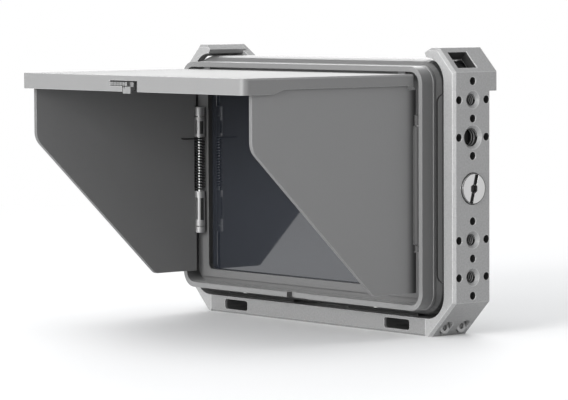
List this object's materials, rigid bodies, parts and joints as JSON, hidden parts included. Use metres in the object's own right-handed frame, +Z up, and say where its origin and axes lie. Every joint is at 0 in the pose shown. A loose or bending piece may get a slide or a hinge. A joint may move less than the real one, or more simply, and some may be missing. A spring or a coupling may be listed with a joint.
{
  "type": "camera field monitor with sun hood",
  "caption": "Caged camera-top field monitor with a folding three-flap sun hood, slotted ears and threaded side plates for arms and accessories.",
  "frame": {"origin": "middle of the quarter inch thread in the underside of the bottom bar", "axes": "+X right for someone facing the screen, -Y out of the screen towards that person, +Z up"},
  "size_m": [0.1864, 0.1349, 0.1243],
  "materials": {
    "cage_metal": "bead-blasted light grey anodised aluminium",
    "body_metal": "satin grey anodised aluminium",
    "hood_metal": "satin grey painted aluminium",
    "top_sheet": "fine satin light grey",
    "flap_sheet": "fine matt grey",
    "bright_steel": "turned bright steel",
    "dark_steel": "blackened steel",
    "pad_rubber": "smooth black rubber",
    "cover_glass": "coated cover glass",
    "panel_black": "dark liquid crystal panel",
    "light_white": "white diffuser",
    "board_green": "solder mask",
    "spreader": "rolled sheet",
    "dark_plastic": "fine texture dark plastic",
    "contact_gold": "gilt contact"
  },
  "bodies": {
    "base": {"bottom_bar": "cage_metal", "left_side_plate": "cage_metal", "right_side_plate": "cage_metal", "cage_corner_screws": "dark_steel", "cage_pads": "pad_rubber", "front_shell": "body_metal", "rear_shell": "body_metal", "screen_glass": "cover_glass", "lcd_panel": "panel_black", "backlight": "light_white", "heat_spreader": "spreader", "main_board": "board_green", "board_screws": "bright_steel", "shell_screws": "dark_steel", "left_side_cover": "body_metal", "right_side_cover": "body_metal", "battery_plate": "dark_plastic", "battery_contacts": "contact_gold", "battery_plate_screws": "bright_steel", "port_sockets": "bright_steel", "hood_frame": "hood_metal", "hood_frame_screws": "bright_steel", "top_hinge_pins": "bright_steel", "left_hinge_caps": "bright_steel", "left_hinge_pin": "bright_steel", "right_hinge_caps": "hood_metal", "right_hinge_pin": "bright_steel"},
    "left_clamp": {"left_clamp_screw": "bright_steel"},
    "right_clamp": {"right_clamp_screw": "bright_steel"},
    "release": {"battery_release": "dark_plastic"},
    "power": {"power_button": "dark_plastic"},
    "top": {"top_flap": "top_sheet", "latch_housing": "dark_plastic"},
    "latch": {"latch_slider": "hood_metal"},
    "left": {"left_flap": "flap_sheet", "left_hinge_barrels": "bright_steel", "left_spring": "dark_steel"},
    "right": {"right_flap": "flap_sheet", "right_hinge_barrels": "bright_steel", "right_spring": "dark_steel"}
  },
  "joints": [
    {"name": "left_flap_hinge", "type": "hinge", "parent": "base", "child": "left", "pos_m": [-0.07425, -0.017, 0.0642], "axis": [0, 0, 1], "range_deg": [0, 90], "stiffness_Nm_per_rad": 0.006, "springref_deg": -28.65},
    {"name": "right_flap_hinge", "type": "hinge", "parent": "base", "child": "right", "pos_m": [0.07635, -0.017, 0.0642], "axis": [0, 0, -1], "range_deg": [0, 90], "stiffness_Nm_per_rad": 0.006, "springref_deg": -28.65},
    {"name": "top_flap_hinge", "type": "hinge", "parent": "base", "child": "top", "pos_m": [0, -0.0185, 0.11075], "axis": [-1, 0, 0], "range_deg": [-0.5, 12]},
    {"name": "latch_slide", "type": "slide", "parent": "top", "child": "latch", "axis": [1, 0, 0], "range_m": [0, 0.004], "stiffness_N_per_m": 120, "springref_m": -0.004},
    {"name": "left_clamp_turn", "type": "hinge", "parent": "base", "child": "left_clamp", "pos_m": [-0.0923, 0, 0.0642], "axis": [-1, 0, 0], "continuous": true},
    {"name": "right_clamp_turn", "type": "hinge", "parent": "base", "child": "right_clamp", "pos_m": [0.0923, 0, 0.0642], "axis": [1, 0, 0], "continuous": true},
    {"name": "release_slide", "type": "slide", "parent": "base", "child": "release", "axis": [0, 0, -1], "range_m": [0, 0.0025], "stiffness_N_per_m": 300, "springref_m": -0.003},
    {"name": "power_press", "type": "slide", "parent": "base", "child": "power", "axis": [-1, 0, 0], "range_m": [0, 0.0006], "stiffness_N_per_m": 600, "springref_m": -0.001}
  ]
}
